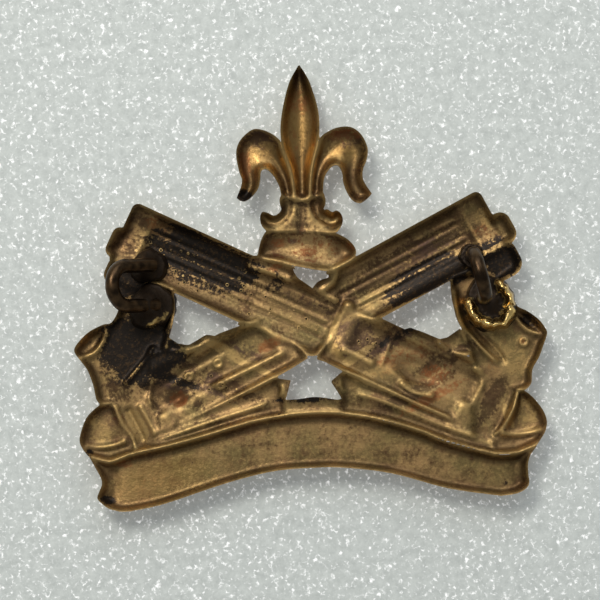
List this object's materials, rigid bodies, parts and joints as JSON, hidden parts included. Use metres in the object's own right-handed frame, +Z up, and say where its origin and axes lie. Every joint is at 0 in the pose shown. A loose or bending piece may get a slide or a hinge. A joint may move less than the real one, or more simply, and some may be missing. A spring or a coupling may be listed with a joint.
{
  "type": "cap badge",
  "caption": "Die-struck brass cap badge, hollow behind: a fleur-de-lis over a standing animal, crossed guns and a curved scroll, with wire loops brazed to the back.",
  "frame": {"origin": "on the flat back of the sheet, in the strip above the middle of the scroll", "axes": "+Z up as the badge is worn, +Y straight out of the back towards the cap, +X to the left side as seen from behind"},
  "size_m": [0.0474, 0.0097, 0.0441],
  "materials": {
    "struck_brass": "sheet brass, die-struck, darkened to olive brown with age and scorched black near the brazed feet",
    "loop_wire": "drawn wire, bent hot, dark copper brown",
    "braze": "braze metal, set as it flowed, bright at the rims and scorched inside"
  },
  "bodies": {
    "root": {"badge_shell": "struck_brass", "left_loop": "loop_wire", "right_loop": "loop_wire", "left_loop_upper_braze": "braze", "left_loop_lower_braze": "braze", "right_loop_upper_braze": "braze", "right_loop_lower_braze": "braze"}
  },
  "joints": []
}
